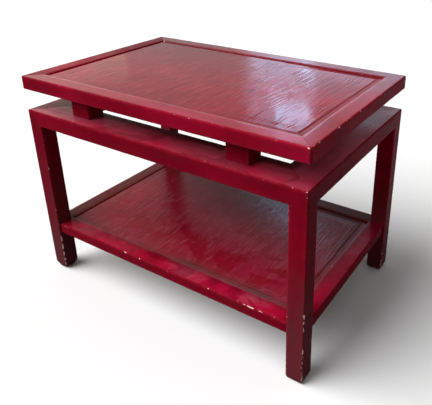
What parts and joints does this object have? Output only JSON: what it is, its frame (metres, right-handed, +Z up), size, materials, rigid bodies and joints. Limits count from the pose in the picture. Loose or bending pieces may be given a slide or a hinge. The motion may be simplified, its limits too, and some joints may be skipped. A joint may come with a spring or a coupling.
{
  "type": "side table",
  "caption": "Red lacquered side table with a framed panel top raised on spacer blocks, square legs flush with the rails, and a framed lower shelf.",
  "frame": {"origin": "on the floor, below the middle of the table", "axes": "+X along the table's length to its right end, +Y from the front edge to the back, +Z up"},
  "size_m": [0.724, 0.458, 0.508],
  "materials": {
    "frame_lacquer": "worn semi-gloss red lacquer, chipped to pale ground along the edges",
    "panel_lacquer": "glossy red lacquer over raised wood grain",
    "bare_wood": "unfinished wood, hidden in use"
  },
  "bodies": {
    "root": {"top_rail_front": "frame_lacquer", "top_rail_back": "frame_lacquer", "top_rail_left": "frame_lacquer", "top_rail_right": "frame_lacquer", "top_panel": "panel_lacquer", "top_batten_front": "bare_wood", "top_batten_back": "bare_wood", "spacer_front_left": "frame_lacquer", "spacer_front_right": "frame_lacquer", "spacer_back_left": "frame_lacquer", "spacer_back_right": "frame_lacquer", "peg_front_left": "bare_wood", "peg_front_right": "bare_wood", "peg_back_left": "bare_wood", "peg_back_right": "bare_wood", "base_rail_front": "frame_lacquer", "base_rail_back": "frame_lacquer", "base_rail_left": "frame_lacquer", "base_rail_right": "frame_lacquer", "leg_front_left": "frame_lacquer", "leg_front_right": "frame_lacquer", "leg_back_left": "frame_lacquer", "leg_back_right": "frame_lacquer", "shelf_rail_front": "frame_lacquer", "shelf_rail_back": "frame_lacquer", "shelf_rail_left": "frame_lacquer", "shelf_rail_right": "frame_lacquer", "shelf_panel": "panel_lacquer", "shelf_batten_front": "bare_wood", "shelf_batten_back": "bare_wood"}
  },
  "joints": []
}
